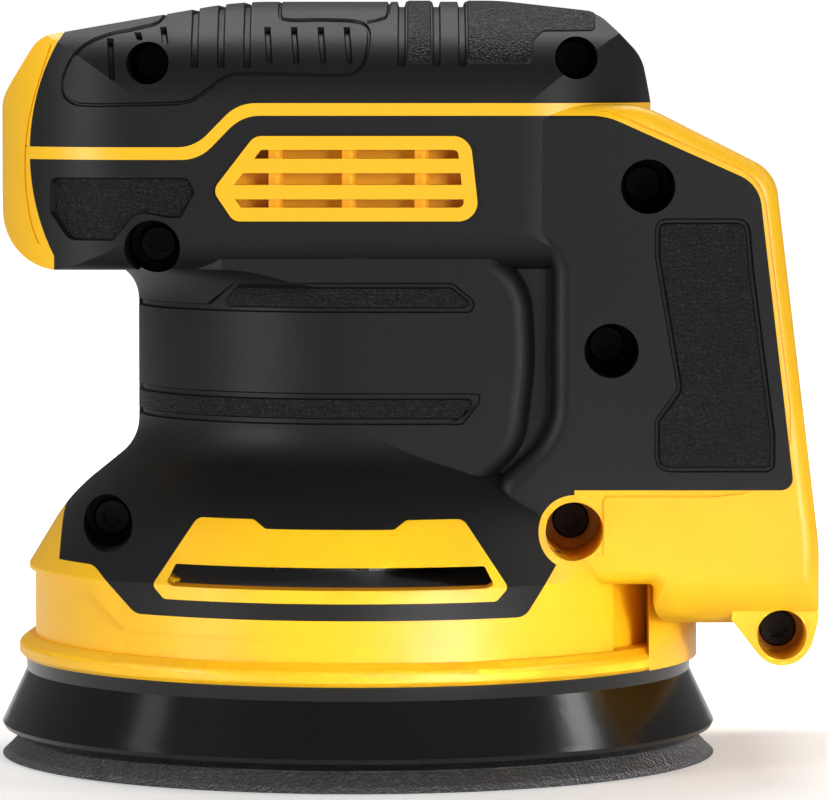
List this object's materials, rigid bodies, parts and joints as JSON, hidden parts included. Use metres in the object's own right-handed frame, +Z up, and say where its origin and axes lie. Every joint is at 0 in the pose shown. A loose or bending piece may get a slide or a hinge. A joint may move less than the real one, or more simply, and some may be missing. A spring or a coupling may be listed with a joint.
{
  "type": "random orbit sander",
  "caption": "Cordless palm random-orbit sander, bare tool: split housing with rubber overmould, dust skirt and round hook-and-loop pad on an offset spindle, battery bay and dust outlet behind.",
  "frame": {"origin": "on the motor axis, in the plane of the sanding pad's hook face", "axes": "+Z up along the motor axis, -X towards the nose with the switch and the dial, +X towards the battery bay and dust outlet, +Y to the tool's right"},
  "size_m": [0.1406, 0.126, 0.131],
  "materials": {
    "yellow_nylon": "satin moulded glass-filled nylon",
    "black_rubber": "fine matte overmoulded rubber",
    "skirt_rubber": "smooth, slightly glossy rubber",
    "black_nylon": "matte",
    "foam": "open-cell polyurethane foam, matte",
    "hook": "short nylon hooks",
    "steel": "ground",
    "black_steel": "blackened",
    "aluminium": "die-cast",
    "laminated_steel": "laminated sheet",
    "copper": "enamelled winding",
    "board": "solder mask",
    "wire_red": "insulated wire",
    "contact": "plated",
    "magnet": "nickel plated",
    "fan_nylon": "matte"
  },
  "bodies": {
    "housing": {"housing_left": "yellow_nylon", "housing_right": "yellow_nylon", "overmold_left": "black_rubber", "overmold_right": "black_rubber", "top_grip": "black_rubber", "nose_bezel_upper": "yellow_nylon", "nose_bezel_lower": "yellow_nylon", "intake_grille_left": "yellow_nylon", "intake_grille_right": "yellow_nylon", "exhaust_panel_left": "yellow_nylon", "exhaust_panel_right": "yellow_nylon", "dust_skirt": "skirt_rubber", "brake_seal": "skirt_rubber", "dust_duct": "black_nylon", "dust_outlet": "black_nylon", "motor_plate": "aluminium", "plate_screws": "steel", "lower_bearing": "steel", "upper_bearing": "steel", "upper_bracket": "aluminium", "stator_core": "laminated_steel", "stator_coils": "copper", "sensor_board": "board", "control_tub": "black_nylon", "control_board": "board", "mosfets": "black_nylon", "bulk_capacitor": "aluminium", "phase_wires": "wire_red", "battery_leads": "wire_red", "switch_body": "black_nylon", "speed_sensor": "black_nylon", "terminal_block": "black_nylon", "contact_blades": "contact", "case_screws": "black_steel"},
    "rotor": {"motor_shaft": "steel", "rotor_core": "laminated_steel", "rotor_magnets": "magnet", "cooling_fan": "fan_nylon", "dust_fan": "aluminium", "counterweight": "steel", "pad_bearing": "steel"},
    "pad": {"pad_spindle": "steel", "spindle_clip": "steel", "backing_plate": "fan_nylon", "foam_pad": "foam", "hook_face": "hook", "pad_screws": "steel"},
    "switch_paddle": {"switch_paddle": "black_rubber"},
    "speed_dial": {"speed_dial": "black_nylon"}
  },
  "joints": [
    {"name": "motor_spin", "type": "hinge", "parent": "housing", "child": "rotor", "pos_m": [0, 0, 0.03], "axis": [0, 0, 1], "continuous": true},
    {"name": "pad_spin", "type": "hinge", "parent": "rotor", "child": "pad", "pos_m": [0, 0.0013, 0.018], "axis": [0, 0, 1], "continuous": true},
    {"name": "switch_rock", "type": "hinge", "parent": "housing", "child": "switch_paddle", "pos_m": [-0.057, 0, 0.115], "axis": [0, 1, 0], "range_deg": [0, 8]},
    {"name": "dial_turn", "type": "hinge", "parent": "housing", "child": "speed_dial", "pos_m": [-0.051, 0, 0.098], "axis": [0, 0, 1], "range_deg": [0, 270]}
  ]
}
